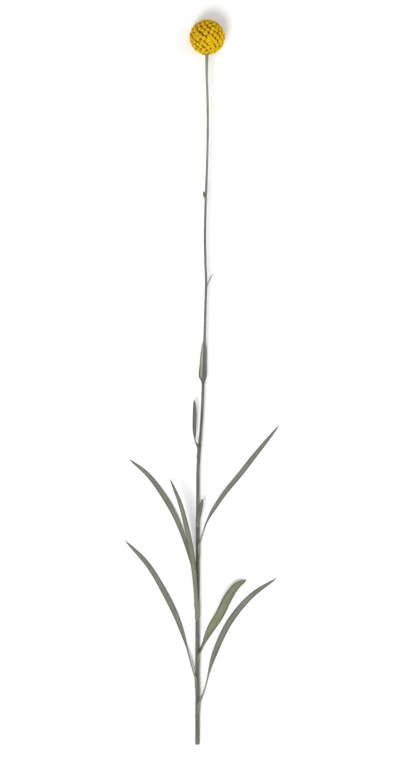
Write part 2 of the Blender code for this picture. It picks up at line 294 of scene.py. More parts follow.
def build_stalk():
    """Builds the stalk as rings from its cut end up into the head, and returns the ring at the cut."""
    bevel_at, bevel = zip(*CUT_BEVEL)
    levels = np.concatenate([bevel_at, np.linspace(0.8, 470.0, 410), np.linspace(470.4, STALK_TOP, 36)])
    centre, _, right, up = stalk_frame(levels)
    turn = 2 * math.pi * np.arange(STALK_SIDES) / STALK_SIDES - math.pi / 2
    ribs = np.cos(STALK_RIBS * turn[None, :] + 0.004 * levels[:, None])
    ribs = ribs * (1 - np.minimum(near_joints(levels, RIBLESS_REACH), 1.0))[:, None]
    wander = 0.02 * np.sin(levels[:, None] / 7.3 + 2 * turn[None, :]) + 0.012 * np.sin(levels[:, None] / 2.9)
    radius = stalk_radius(levels)[:, None] * (1 + STALK_RIB_DEPTH * ribs + wander)
    radius = radius - np.interp(levels, bevel_at, bevel)[:, None]
    outward = np.cos(turn)[None, :, None] * right[:, None, :] + np.sin(turn)[None, :, None] * up[:, None, :]
    rings = centre[:, None, :] + radius[:, :, None] * outward
    faces = loft_faces(len(levels), STALK_SIDES, cap_start=False)
    share = np.repeat(levels / STALK_TOP, STALK_SIDES)
    plant_piece(
        "felted_stalk", rings.reshape(-1, 3), faces, stalk_finish(), "stem", {"along": share}
    )
    return rings[0]


stalk_end_ring = build_stalk()


# The cut end
# Where the stalk was snipped: a ring of green skin round pale, slightly sunken pith with fine pores.
# It is one with the stalk, and closes its foot.
CUT_RINGS = ((1.0, 0.0), (0.86, -0.03), (0.78, 0.10), (0.55, 0.15), (0.30, 0.17), (0.10, 0.20))


def pith_finish():
    pith = Finish("stalk_pith", 0.85, 0.0)
    across = pith.note("across")
    cells = pith.noise(2600.0, 4.0)
    body = pith.ramp(
        across,
        (
            (0.00, (0.62, 0.64, 0.42)),
            (0.55, (0.52, 0.56, 0.32)),
            (0.80, (0.24, 0.31, 0.12)),
            (1.00, (0.17, 0.20, 0.10)),
        ),
    )
    pith.colour(pith.blend(pith.mask(cells, (0.45, 0), (0.70, 0.6)), body, (0.30, 0.32, 0.16)))
    pith.bump(cells, 0.08, 0.6)
    return pith.material


def build_cut_end():
    """Rings from the stalk's own rim inwards, each at its share of the rim and its depth in the stalk."""
    centre, along, _, _ = stalk_frame([0.0])
    points, across = [], []
    for share, depth in CUT_RINGS:
        for k, rim in enumerate(stalk_end_ring):
            ripple = 1 + 0.03 * (share < 1) * math.sin(0.87 * k + 3 * share)
            points.append(centre[0] + share * ripple * (rim - centre[0]) + depth * along[0])
            across.append(share)
    faces = [tuple(reversed(f)) for f in loft_faces(len(CUT_RINGS), STALK_SIDES, cap_start=False)]
    plant_piece("stalk_cut_end", points, faces, pith_finish(), None, {"across": across})


build_cut_end()


# The leaves
# Narrow, grey-green, felted leaves that spring from the stalk one by one. Each clasps the stalk with
# its foot, opens into a shallow blade with a sunken midrib, and narrows to a point.
BLADE_OUTLINE = (
    (0.00, 0.80),
    (0.20, 0.84),
    (0.50, 1.00),
    (0.75, 0.92),
    (0.90, 0.62),
    (0.97, 0.30),
    (1.00, 0.05),
)
BOAT_OUTLINE = (
    (0.00, 1.00),
    (0.20, 1.00),
    (0.45, 0.84),
    (0.70, 0.72),
    (0.88, 0.50),
    (1.00, 0.16),
)
OPENING_LENGTH = 8.0
TURNED_BY = 0.55
SHEATH_FOOT_SHARE = 0.65
SEAT_GAP = 0.03
FOOT_SUNK_BY = 0.22
FOOT_ARCHED_BY = 1.5
BLADE_FLESH = 0.42
BLADE_KEEL = 0.26
MIDRIB_GROOVE = 0.16
VEIN_RELIEF = 0.035
MARGIN_CURL = 0.30
BLADE_FLUTTER = 0.10
MARGIN_PLAY = 0.045
ROLL_PLAY = 0.14
# The underside's share of the boat leaf's paleness, which is partly painted light.
UNDERSIDE_PALENESS = 0.3
SHEATH_ROWS = 16
BLADE_ROWS = 80
BLADE_LANES = 15

# In millimetres and degrees. A leaf's base is how far up the stalk it starts, its side the angle round the
# stalk from the right by way of the top, and clasp and roll how far sheath and blade curve to each side.
# A leaf's darkening is partly its own greyer tone and partly painted shade, as under a tuft of leaves.
LEAVES = {
    "leaf_01_right": dict(
        base=20.0,
        sheath=6.0,
        side=15.0,
        clasp=105.0,
        midrib=(
            (1.8, 38.0, 2.5),
            (8.0, 60.0, 1.7),
            (19.0, 84.0, 1.1),
            (35.0, 103.0, 0.6),
            (52.0, 115.0, 0.4),
        ),
        width=3.8,
        roll=26.0,
        facing=(0.0, 0.1, 1.0),
        olive=0.35,
        tone_and_painted_shade=0.61,
    ),
    "leaf_02_left": dict(
        base=37.0,
        sheath=7.0,
        side=172.0,
        clasp=105.0,
        midrib=(
            (-7.4, 57.0, 2.5),
            (-13.8, 79.0, 1.7),
            (-24.0, 102.0, 1.1),
            (-38.0, 125.0, 0.6),
            (-53.0, 141.0, 0.4),
        ),
        width=3.4,
        roll=28.0,
        facing=(0.1, 0.0, 1.0),
        olive=0.3,
        tone_and_painted_shade=0.61,
    ),
    "leaf_03_broad_right": dict(
        base=54.0,
        sheath=7.0,
        side=-8.0,
        clasp=105.0,
        midrib=(
            (1.0, 69.0, 4.2),
            (5.2, 78.0, 6.2),
            (12.0, 90.0, 8.2),
            (18.2, 102.0, 8.4),
            (25.0, 110.5, 5.6),
            (31.0, 113.5, 0.7),
        ),
        width=6.0,
        roll=30.0,
        facing=(0.0, 0.15, 1.0),
        olive=1.0,
        tone_and_painted_shade=0.54,
    ),
    "leaf_04_front": dict(
        base=84.0,
        sheath=8.0,
        side=100.0,
        clasp=105.0,
        midrib=(
            (-3.9, 104.0, 7.4),
            (-5.6, 124.0, 11.0),
            (-9.4, 147.0, 14.4),
            (-15.0, 168.0, 15.6),
            (-21.5, 184.0, 14.0),
        ),
        width=3.4,
        roll=28.0,
        facing=(0.2, 0.3, -1.0),
        olive=0.5,
        tone_and_painted_shade=0.68,
    ),
    "leaf_05_left": dict(
        base=104.0,
        sheath=9.0,
        side=187.0,
        clasp=105.0,
        midrib=(
            (-7.4, 126.0, 3.0),
            (-14.0, 148.0, 2.3),
            (-25.0, 170.0, 1.4),
            (-38.0, 187.0, 0.7),
            (-50.0, 197.0, 0.4),
        ),
        width=3.2,
        roll=28.0,
        facing=(0.0, 0.1, 1.0),
        olive=0.4,
        tone_and_painted_shade=0.64,
    ),
    "leaf_06_long_right": dict(
        base=127.0,
        sheath=10.0,
        side=2.0,
        clasp=105.0,
        midrib=(
            (0.7, 147.0, 3.6),
            (6.0, 159.0, 3.3),
            (11.2, 167.0, 2.8),
            (32.0, 193.5, 1.3),
            (53.6, 220.5, 0.4),
        ),
        width=3.0,
        roll=28.0,
        facing=(0.0, 0.0, 1.0),
        olive=0.1,
        tone_and_painted_shade=0.61,
    ),
    "leaf_07_short_front": dict(
        base=149.0,
        sheath=6.0,
        side=84.0,
        clasp=80.0,
        midrib=((-1.5, 160.0, 6.3), (-0.4, 165.0, 6.9), (0.7, 170.0, 7.1)),
        width=2.2,
        roll=32.0,
        facing=(0.0, 0.0, -1.0),
        olive=0.5,
        tone_and_painted_shade=0.87,
    ),
    "leaf_08_upper_left": dict(
        base=195.0,
        sheath=9.0,
        side=155.0,
        clasp=110.0,
        midrib=((-4.2, 210.0, 5.1), (-4.9, 219.0, 5.7), (-4.8, 230.0, 6.3), (-5.0, 238.5, 6.6)),
        width=2.6,
        roll=30.0,
        facing=(0.5, 0.0, 1.0),
        olive=0.0,
        tone_and_painted_shade=1.0,
    ),
    "leaf_09_boat_behind": dict(
        base=247.0,
        sheath=3.0,
        side=270.0,
        clasp=118.0,
        midrib=((0.9, 255.0, 3.3), (1.1, 262.0, 2.8), (1.5, 270.0, 2.5), (1.8, 279.5, 2.4)),
        width=5.4,
        opening=4.5,
        outline=BOAT_OUTLINE,
        roll=58.0,
        facing=(0.0, 0.0, 1.0),
        olive=0.45,
        # Paler, partly its own felt and partly painted light against the stalk's shadow.
        pale=0.65,
        tone_and_painted_shade=0.0,
    ),
}


def leaf_finish():
    """Grey-green under a pale felt rubbed thin in streaks, paler near the foot and browner at the tip.

    The boat-shaped leaf is pale, most of all on its upper face: partly its own pale felt and partly painted
    light lifting the stalk's shadow off it. Its dark margins in its lower part are painted shade.
    """
    felt = Finish("leaf_felt", 0.9, 0.3)
    along = felt.note("along")
    across = felt.note("across")
    lane = felt.tree.nodes.new("ShaderNodeCombineXYZ")
    felt.tree.links.new(felt.note("sideways"), lane.inputs["X"])
    felt.tree.links.new(felt.note("lengthways"), lane.inputs["Y"])
    veins = felt.noise(2.4, 3.0, felt.stretched((1.0, 0.035, 1.0), lane.outputs["Vector"]))
    fluff = felt.noise(1500.0, 4.0)
    clouds = felt.noise(75.0, 3.0)
    body = felt.ramp(
        along,
        (
            (0.00, (0.125, 0.134, 0.092)),
            (0.03, (0.195, 0.208, 0.148)),
            (0.09, (0.264, 0.278, 0.199)),
            (0.20, (0.205, 0.217, 0.164)),
            (0.55, (0.188, 0.198, 0.157)),
            (0.92, (0.182, 0.190, 0.152)),
            (1.00, (0.060, 0.052, 0.036)),
        ),
    )
    body = felt.blend(felt.mask(veins, (0.35, 0), (0.75, 0.60)), body, (0.344, 0.351, 0.300))
    body = felt.blend(felt.mask(fluff, (0.45, 0), (0.72, 0.40)), body, (0.498, 0.505, 0.454))
    body = felt.blend(felt.mask(clouds, (0.46, 0), (0.78, 0.50)), body, (0.103, 0.120, 0.074))
    rib = felt.mask(felt.math("ABSOLUTE", across), (0.00, 0.50), (0.12, 0))
    body = felt.blend(rib, body, (0.395, 0.410, 0.315))
    # The boat leaf's paleness: partly its own pale felt, partly painted light lifting the stalk's shadow.
    body = felt.blend(felt.note("pale"), body, (0.500, 0.505, 0.440))
    # Darker margins: partly the felt's own darker green, partly painted shade where the rolled margins turn
    # from the light.
    edge = felt.mask(felt.math("ABSOLUTE", across), (0.62, 0), (0.86, 0.55), (1.00, 0.85))
    body = felt.blend(edge, body, (0.058, 0.064, 0.042))
    # Painted shade on the boat leaf's margins low down.
    low = felt.math("MULTIPLY", felt.note("pale"), felt.mask(along, (0.32, 1), (0.52, 0)))
    rim = felt.mask(felt.math("ABSOLUTE", across), (0.60, 0), (0.80, 1))
    body = felt.blend(felt.math("MULTIPLY", low, rim), body, (0.012, 0.013, 0.009))
    body = felt.blend(felt.math("MULTIPLY", felt.note("olive"), 0.8), body, (0.93, 1.0, 0.62), "MULTIPLY")
    # Darkens each leaf, partly to its own greyer tone and partly with painted shade as under a tuft.
    body = felt.blend(felt.note("tone_and_painted_shade"), body, (0.42, 0.42, 0.44), "MULTIPLY")
    felt.colour(body)
    felt.bump(felt.math("ADD", fluff, veins), 0.07, 0.45)
    return felt.material


def leaf_midrib(leaf):
    """The midrib's points, from the foot of the sheath to the tip, with how far each lies along it."""
    levels = leaf["base"] + leaf["sheath"] * np.array([0.0, 0.5, 1.0])
    centre, _, right, up = stalk_frame(levels)
    side = math.radians(leaf["side"])
    outward = math.cos(side) * right + math.sin(side) * up
    seat = centre + (stalk_radius(levels) + SEAT_GAP)[:, None] * outward
    points = np.concatenate([seat, np.array(leaf["midrib"])])
    steps = np.linalg.norm(np.diff(points, axis=0), axis=1)
    return points, np.concatenate([[0.0], np.cumsum(steps)])


def build_leaf(node, leaf, material, draw):
    """One leaf as rows of points across it, from its clasping foot to its tip, and the skin for its hairs."""
    points, travelled = leaf_midrib(leaf)
    length, sheath_end = travelled[-1], travelled[2]
    sheath_rows = np.linspace(0, sheath_end, SHEATH_ROWS, endpoint=False)
    s = np.concatenate([sheath_rows, np.linspace(sheath_end, length, BLADE_ROWS)])
    here = smooth_through(travelled, points, s)
    along = unit(
        smooth_through(travelled, points, np.minimum(s + 0.4, length))
        - smooth_through(travelled, points, np.maximum(s - 0.4, 0.0))
    )
    seat_radius = float(stalk_radius(leaf["base"] + leaf["sheath"] / 2)) + 0.05
    open_radius = 0.5 * leaf["width"] / math.radians(leaf["roll"])
    inward = unit(stalk_centre(leaf["base"])[0] - points[0])
    opened = ease(sheath_end, sheath_end + leaf.get("opening", OPENING_LENGTH), s)
    turned = ease(sheath_end, TURNED_BY * length, s)[:, None]
    facing = (1 - turned) * inward + turned * unit(np.array(leaf["facing"]))
    facing = unit(facing - np.sum(facing * along, axis=1, keepdims=True) * along)
    slow_twist = 0.10 * np.sin(s / 16.0 + draw.uniform(0, 6))
    twist = opened * (slow_twist + 0.05 * np.sin(s / 6.0 + draw.uniform(0, 6)))
    facing = np.cos(twist)[:, None] * facing + np.sin(twist)[:, None] * np.cross(along, facing)
    across = np.cross(along, facing)
    roll_play = 1 + ROLL_PLAY * np.sin(s / 9.0 + draw.uniform(0, 6)) * opened
    radius = seat_radius ** (1 - opened) * open_radius**opened * roll_play
    clasp = math.radians(leaf["clasp"])
    clasp = clasp * np.interp(s, (0.0, 0.6 * sheath_end), (SHEATH_FOOT_SHARE, 1.0))
    outline_at, outline = zip(*leaf.get("outline", BLADE_OUTLINE))
    blade_share = np.maximum(s - sheath_end, 0.0) / (length - sheath_end)
    half = 0.5 * leaf["width"] * smooth_through(outline_at, outline, blade_share)[:, 0]
    half = (1 - opened) * seat_radius * clasp + opened * half
    half = np.minimum(half, radius * clasp)

    lanes = np.sin(np.linspace(-0.5 * math.pi, 0.5 * math.pi, BLADE_LANES))
    u = lanes[None, :]
    opened_row = opened[:, None]
    left, right = [
        1 + opened * MARGIN_PLAY * np.sin(s / draw.uniform(5, 9) + draw.uniform(0, 6)) for _ in range(2)
    ]
    margin = np.where(u < 0, left[:, None], right[:, None])
    wave_at = draw.uniform(0, 6)
    flutter = BLADE_FLUTTER * opened_row * np.sin(s[:, None] / 5.5 + wave_at + 1.2 * u) * np.abs(u) ** 2
    flesh = BLADE_FLESH * (0.12 + 0.88 * ease(0.0, 4.0, s)) * np.interp(blade_share, (0.9, 1.0), (1.0, 0.5))
    thick = flesh[:, None] * (1 - 0.6 * u**4)
    keel = BLADE_KEEL * opened_row * np.exp(-((u / 0.20) ** 2))
    groove = MIDRIB_GROOVE * opened_row * np.exp(-((u / 0.13) ** 2))
    side_veins = VEIN_RELIEF * opened_row * np.cos(3 * math.pi * u)
    angle = u * margin * (half / radius)[:, None]
    rolled = MARGIN_CURL * opened_row * (np.maximum(np.abs(u) - 0.72, 0.0) / 0.28) ** 2
    sunk = FOOT_SUNK_BY * (1 - ease(0.0, 3.5, s))[:, None]
    towards = np.sin(angle)[:, :, None] * across[:, None, :] - np.cos(angle)[:, :, None] * facing[:, None, :]
    arched = FOOT_ARCHED_BY * (1 - ease(0.0, 5.0, s))[:, None] * u**2
    centre = here[:, None, :] + arched[:, :, None] * along[:, None, :]
    centre = centre + radius[:, None, None] * facing[:, None, :]
    relief = side_veins + flutter + rolled - sunk
    upper = centre + (radius[:, None] + groove + relief)[:, :, None] * towards
    lower = centre + (radius[:, None] + thick + keel + relief)[:, :, None] * towards
    lift = np.maximum(0.0, -np.minimum(upper[:, :, 2], lower[:, :, 2]))
    upper[:, :, 2] += lift
    lower[:, :, 2] += lift

    rings = np.concatenate([upper, lower[:, ::-1]], axis=1)
    around = np.concatenate([lanes, lanes[::-1]])
    rows = len(s)
    paleness = leaf.get("pale", 0.0) * np.repeat((1.0, UNDERSIDE_PALENESS), BLADE_LANES)
    notes = {
        "along": np.repeat(s / length, 2 * BLADE_LANES),
        "across": np.tile(around, rows),
        "lengthways": np.repeat(s + 40 * draw.random(), 2 * BLADE_LANES),
        "sideways": (half[:, None] * around[None, :] + 9 * draw.random()).ravel(),
        "olive": np.full(rows * 2 * BLADE_LANES, leaf["olive"]),
        "tone_and_painted_shade": np.full(rows * 2 * BLADE_LANES, leaf["tone_and_painted_shade"]),
        "pale": np.tile(paleness, rows),
    }
    plant_piece(
        node + "_blade",
        rings.reshape(-1, 3),
        loft_faces(rows, 2 * BLADE_LANES),
        material,
        node,
        notes,
    )
    return upper, lower, towards, along


leaf_felt = leaf_finish()
leaf_draw = random.Random(5)
leaf_skins = [build_leaf(node, leaf, leaf_felt, leaf_draw) for node, leaf in LEAVES.items()]


# The small bracts
# Two scale-like leaves high on the bare part of the stalk, grown from its skin: a slim pointed one
# on the right, and a little brown oval one pressed to the left.
BRACTS = (
    dict(
        name="slim_bract",
        line=((2.9, 313.0, 6.9), (4.0, 317.5, 7.1), (6.0, 321.8, 7.6), (8.4, 325.8, 8.1)),
        width=1.0,
        depth=0.6,
        shade=0.2,
    ),
    dict(
        name="oval_bract",
        line=((2.6, 376.5, 8.9), (2.1, 378.5, 9.2), (1.7, 380.3, 9.4), (1.4, 382.0, 9.5)),
        width=2.0,
        depth=0.6,
        shade=0.9,
    ),
)
BRACT_OUTLINE = ((0.0, 0.35), (0.2, 0.85), (0.4, 1.0), (0.7, 0.75), (0.9, 0.35), (1.0, 0.06))
BRACT_ROWS = 28
BRACT_SIDES = 14


def bract_finish():
    felt = Finish("bract_felt", 0.9, 0.25)
    fluff = felt.noise(1400.0, 4.0)
    body = felt.ramp(
        felt.note("shade"),
        (
            (0.0, (0.30, 0.32, 0.22)),
            (0.5, (0.16, 0.16, 0.10)),
            (1.0, (0.055, 0.042, 0.028)),
        ),
    )
    felt.colour(felt.blend(felt.mask(fluff, (0.5, 0), (0.75, 0.35)), body, (0.36, 0.37, 0.30)))
    felt.bump(fluff, 0.05, 0.5)
    return felt.material


def build_bracts():
    material = bract_finish()
    outline_at, outline = zip(*BRACT_OUTLINE)
    for bract in BRACTS:
        line = np.array(bract["line"])
        knots = np.linspace(0, 1, len(line))
        t = np.linspace(0, 1, BRACT_ROWS)
        here = smooth_through(knots, line, t)
        ahead = smooth_through(knots, line, np.minimum(t + 0.04, 1))
        along = unit(ahead - smooth_through(knots, line, np.maximum(t - 0.04, 0)))
        across = unit(np.cross(along, (0.0, 0.0, 1.0)))
        up = np.cross(across, along)
        fullness = smooth_through(outline_at, outline, t)[:, 0]
        turn = 2 * math.pi * np.arange(BRACT_SIDES) / BRACT_SIDES
        sideways = 0.5 * bract["width"] * fullness[:, None] * np.cos(turn)[None, :]
        ridge = 1 + 0.35 * np.exp(-((np.cos(turn) / 0.35) ** 2))
        upward = 0.5 * bract["depth"] * np.maximum(fullness, 0.25)[:, None] * (np.sin(turn) * ridge)[None, :]
        rings = here[:, None, :] + sideways[:, :, None] * across[:, None, :]
        rings = rings + upward[:, :, None] * up[:, None, :]
        shade = np.repeat(np.interp(t, (0.0, 0.5, 1.0), (0.0, 0.7 * bract["shade"], 1.0)), BRACT_SIDES)
        shade = np.clip(shade * (0.4 + bract["shade"]), 0, 1)
        plant_piece(
            bract["name"],
            rings.reshape(-1, 3),
            loft_faces(BRACT_ROWS, BRACT_SIDES),
            material,
            None,
            {"shade": shade},
        )


build_bracts()


# The felt hairs
# Short whitish hairs that stand off the stalk, the leaf margins and both faces of the leaves. Each is a
# thin three-sided spike rooted in the skin, leaning towards the tip.
HAIR_WIDTH = 0.02
STALK_HAIRS = 42000
STALK_HAIR_SCALE = 0.085
HAIRS_ON_MARGINS = 900
HAIRS_ON_FACES = 3200
LEAF_HAIR_SCALE = 0.065
HAIR_LENGTH_SHAPE = 4.0


def hair_finish():
    hair = Finish("white_felt_hairs", 0.8, 0.2)
    tint = hair.noise(300.0, 2.0)
    hair.colour(hair.ramp(tint, ((0.3, (0.20, 0.21, 0.17)), (0.7, (0.38, 0.39, 0.34)))))
    return hair.material


def build_hairs(name, roots, outward, along, lengths, material):
    """Three-sided spikes on their roots, which lean out from the skin and along it."""
    side = unit(np.cross(outward, along))
    tips = roots + outward * lengths[:, None] * 0.60 + along * lengths[:, None] * 0.80
    points = np.empty((len(roots), 4, 3))
    for k in range(3):
        turn = 2 * math.pi * k / 3
        points[:, k] = roots - 0.05 * outward + HAIR_WIDTH * (math.cos(turn) * side + math.sin(turn) * along)
    points[:, 3] = tips
    base = np.arange(len(roots)) * 4
    faces = []
    for a, b, c in ((0, 2, 1), (0, 1, 3), (1, 2, 3), (2, 0, 3)):
        faces += list(zip((base + a).tolist(), (base + b).tolist(), (base + c).tolist()))
    plant_piece(name, points.reshape(-1, 3), faces, material, None, {})


def build_stalk_hairs(material):
    draw = np.random.default_rng(21)
    y = draw.uniform(0.5, 474.0, STALK_HAIRS)
    centre, along, right, up = stalk_frame(y)
    turn = draw.uniform(0, 2 * math.pi, STALK_HAIRS)[:, None]
    outward = np.cos(turn) * right + np.sin(turn) * up
    roots = centre + (stalk_radius(y) * 0.97)[:, None] * outward
    lean = unit(along + draw.normal(0, 0.5, (STALK_HAIRS, 3)))
    spread = unit(outward + draw.normal(0, 0.25, (STALK_HAIRS, 3)))
    lengths = draw.gamma(HAIR_LENGTH_SHAPE, STALK_HAIR_SCALE, STALK_HAIRS)
    build_hairs("stalk_felt_hairs", roots, spread, lean, lengths, material)


def build_leaf_hairs(material):
    draw = np.random.default_rng(22)
    count = HAIRS_ON_MARGINS + HAIRS_ON_FACES
    on_margin = np.arange(count) < HAIRS_ON_MARGINS
    roots, outward, leans, lengths = [], [], [], []
    for upper, lower, towards, along in leaf_skins:
        r = draw.integers(2, len(along) - 3, count)
        margin_lane = draw.choice([0, BLADE_LANES - 1], count)
        lane = np.where(on_margin, margin_lane, draw.integers(1, BLADE_LANES - 1, count))
        top = draw.random(count) < 0.55
        blend = draw.random(count)[:, None]
        above = upper[r, lane] * (1 - blend) + upper[r + 1, lane] * blend
        below = lower[r, lane] * (1 - blend) + lower[r + 1, lane] * blend
        normal = np.where(top[:, None], -towards[r, lane], towards[r, lane])
        rim = unit(upper[r, lane] - upper[r, BLADE_LANES - 1 - lane] + 1e-9)
        normal = np.where(on_margin[:, None], unit(rim + 0.4 * normal), normal)
        roots.append(np.where(top[:, None], above, below))
        outward.append(unit(normal + draw.normal(0, 0.25, normal.shape)))
        leans.append(unit(along[r] + draw.normal(0, 0.4, normal.shape)))
        lengths.append(draw.gamma(HAIR_LENGTH_SHAPE, LEAF_HAIR_SCALE, count))
    build_hairs(
        "leaf_felt_hairs",
        np.concatenate(roots),
        np.concatenate(outward),
        np.concatenate(leans),
        np.concatenate(lengths),
        material,
    )


white_hairs = hair_finish()
build_stalk_hairs(white_hairs)
build_leaf_hairs(white_hairs)


# The flower head
# A ball of small beads in a spiral, each a tight cluster of tiny five-lobed florets in a cup of brown
# scales. The beads stand on a solid core, painted dark brown as shade, which shows only as dark gaps
# between them. Florets and scales darken with depth as painted shade in the recesses. Those near the
# stalk are painted a lighter lemon, as lit from that side, and stand a little looser.
HEAD_RADIUS = 12.5
HEAD_CORE_RADIUS = 10.7
BEADS = 166
BEAD_DIP = 0.18
BEAD_STRAY = 0.24
BARE_CAP_RADIUS = 2.5
FLORETS_ROUND_BEAD = (5, 6, 6, 7)
FLORET_SPACING = 1.19
FLORET_RING_DROP = 0.46
FLORET_LEAN = math.radians(24)
FLORET_LOOSER_BY = 0.07
RIPENESS = 0.48
# How much lighter lemon the florets near the stalk are painted, as lit from that side.
PAINTED_LIGHT_NEAR_STALK = 0.26
LOBES = 5
LOBE_ANGLES = (-10.0, 10.0, 36.0)
FLORET_SIDES = LOBES * len(LOBE_ANGLES)
FLORET_RISES = (0.0, 0.36, 0.58, 0.86, 1.0, 0.46, 0.84)
CUP_SIDES = 14
CUP_RINGS = (
    (0.80, -2.60, 0.0),
    (1.30, -1.70, 0.0),
    (1.42, -1.05, 0.30),
    (1.20, -1.15, 0.20),
    (0.60, -1.30, 0.0),
)
CUP_LOWEST = 9.9
CUP_HIGHEST = 11.7
CORE_ROWS = 48
CORE_SIDES = 72


def head_frame():
    along = stalk_frame([HEAD_CENTRE[1]])[1][0]
    side = unit(np.cross(along, (0.0, 0.0, 1.0)))
    return along, side, np.cross(side, along)


def bead_places():
    """Top, outward direction, size and turn of each bead, on a golden-angle spiral from the far pole."""
    along, side, up = head_frame()
    draw = random.Random(11)
    golden_angle = math.pi * (3 - math.sqrt(5))
    lowest = -math.sqrt(1 - (BARE_CAP_RADIUS / HEAD_RADIUS) ** 2)
    for k in range(BEADS):
        height = 1 - (1 - lowest) * (k + 0.5) / BEADS
        spread = math.sqrt(1 - height * height)
        turn = golden_angle * k
        outward = height * along + spread * (math.cos(turn) * side + math.sin(turn) * up)
        top = np.array(HEAD_CENTRE) + (HEAD_RADIUS - abs(draw.gauss(0.0, BEAD_DIP))) * outward
        yield top, outward, draw.uniform(0.93, 1.05), draw.uniform(0.0, 1.0)


def bead_sides(outward):
    side = unit(np.cross(outward, (0.31, 0.17, 0.93)))
    return side, np.cross(outward, side)


def copied_faces(faces, points_each, count):
    return [tuple(v + k * points_each for v in face) for k in range(count) for face in faces]


def floret_shape(opened):
    """Rings of one floret from foot to tip: a narrow tube, five blunt lobes, the throat and the anthers."""
    turn = np.radians([72.0 * lobe + angle for lobe in range(LOBES) for angle in LOBE_ANGLES])
    lobe = np.tile([1.0, 1.0, 0.0], LOBES)
    edge = 0.13 + 0.19 * opened
    rings = (
        (0.22, -1.70),
        (0.36, -0.60),
        (0.46 + 0.7 * edge * lobe, -0.22 - 0.06 * opened * lobe),
        (0.44 + edge * lobe, -0.09 + (0.05 - 0.13 * opened) * lobe),
        (0.36 + 0.7 * edge * lobe, 0.0 + (0.05 - 0.09 * opened) * lobe),
        (0.17, -0.08 - 0.12 * opened),
        (0.07, 0.10 + 0.08 * opened),
    )
    shape = np.zeros((len(rings), len(turn), 3))
    for ring, (reach, height) in zip(shape, rings):
        ring[:, 0] = reach * np.cos(turn)
        ring[:, 1] = reach * np.sin(turn)
        ring[:, 2] = height
    return shape.reshape(-1, 3)


def floret_colours():
    """Lemon lobes over orange tubes with brown feet: the darkening down the tubes is painted shade of the
    recesses among the florets. Some florets are a riper orange than others, and those near the stalk a
    lighter lemon as painted light.
    """
    florets = Finish("yellow_florets", 0.8, 0.0)
    florets.shader.inputs["Specular IOR Level"].default_value = 0.08
    rise = florets.note("rise")
    tint = florets.note("tint")
    mottle = florets.noise(900.0, 3.0)
    height = florets.math("MULTIPLY_ADD", mottle, 0.30, florets.math("ADD", rise, -0.15))
    # Browner the deeper in the head: painted shade in the recesses between florets.
    body = florets.ramp(
        height,
        (
            (0.00, (0.060, 0.017, 0.001)),
            (0.38, (0.270, 0.090, 0.002)),
            (0.66, (0.720, 0.380, 0.004)),
            (0.95, (0.930, 0.730, 0.006)),
        ),
    )
    # The tint adds riper orange, and holds the painted light of the lighter lemon near the stalk.
    body = florets.blend(florets.mask(tint, (0.40, 0), (1.0, 0.6)), body, (0.760, 0.370, 0.004))
    florets.colour(body)
    florets.bump(mottle, 0.05, 0.35)
    return florets.material


def bead_florets(bead, draw):
    """Points, heights and tint (riper orange, with painted light near the stalk) of each floret of one bead:
    one in the middle and a ring round it.
    """
    top, outward, size, turn = bead
    side, other = bead_sides(outward)
    top = top + draw.normal(0, BEAD_STRAY) * side + draw.normal(0, BEAD_STRAY) * other
    near_stalk = ease(0.15, -0.65, outward @ head_frame()[0])
    # Lowered near the stalk: painted light that makes those florets a lighter lemon.
    ripeness_and_painted_light = draw.normal(RIPENESS - PAINTED_LIGHT_NEAR_STALK * near_stalk, 0.16)
    ring = int(draw.choice(FLORETS_ROUND_BEAD))
    ring_radius = FLORET_SPACING * (1 + FLORET_LOOSER_BY * near_stalk) * ring / (2 * math.pi)
    for j in range(ring + 1):
        if j == 0:
            axis = unit(outward + draw.normal(0, 0.06, 3))
            tip = top - 0.10 * outward
        else:
            angle = turn + 2 * math.pi * (j + draw.normal(0, 0.07)) / ring
            away = math.cos(angle) * side + math.sin(angle) * other
            lean = FLORET_LEAN + draw.normal(0, 0.09)
            axis = unit(math.cos(lean) * outward + math.sin(lean) * away)
            tip = top - (FLORET_RING_DROP + draw.normal(0, 0.08)) * outward + ring_radius * size * away
        shape = floret_shape(draw.uniform(0.2, 1.0)) * draw.uniform(0.94, 1.14) * size
        twist = draw.uniform(0, 2 * math.pi)
        across = unit(np.cross(axis, (0.2, 0.9, 0.31)))
        over = np.cross(axis, across)
        x = shape[:, 0] * math.cos(twist) - shape[:, 1] * math.sin(twist)
        y = shape[:, 0] * math.sin(twist) + shape[:, 1] * math.cos(twist)
        points = tip + x[:, None] * across + y[:, None] * over + shape[:, 2:] * axis
        # Ring florets sit lower, so they take more of the painted shade.
        rise = np.repeat(FLORET_RISES, FLORET_SIDES) - 0.10 * (j > 0)
        yield points, rise, np.full(len(shape), np.clip(ripeness_and_painted_light + draw.normal(0, 0.15), 0, 1))


def build_florets(name, beads, draw, material, cad_node):
    points, rises, tints = zip(*[floret for bead in beads for floret in bead_florets(bead, draw)])
    faces = loft_faces(len(FLORET_RISES), FLORET_SIDES)
    faces = copied_faces(faces, len(FLORET_RISES) * FLORET_SIDES, len(points))
    notes = {"rise": np.concatenate(rises), "tint": np.concatenate(tints)}
    plant_piece(name, np.concatenate(points), faces, material, cad_node, notes)


def scale_finish():
    scales = Finish("bead_scales", 0.85, 0.1)
    rise = scales.note("rise")
    grain = scales.noise(900.0, 3.0)
    height = scales.math("MULTIPLY_ADD", grain, 0.3, scales.math("ADD", rise, -0.15))
    # Brown scales, darker the deeper they sit: the depth darkening is painted shade.
    body = scales.ramp(
        height,
        (
            (0.0, (0.085, 0.028, 0.002)),
            (0.5, (0.330, 0.130, 0.004)),
            (0.9, (0.620, 0.340, 0.012)),
        ),
    )
    scales.colour(body)
    scales.bump(grain, 0.06, 0.5)
    return scales.material


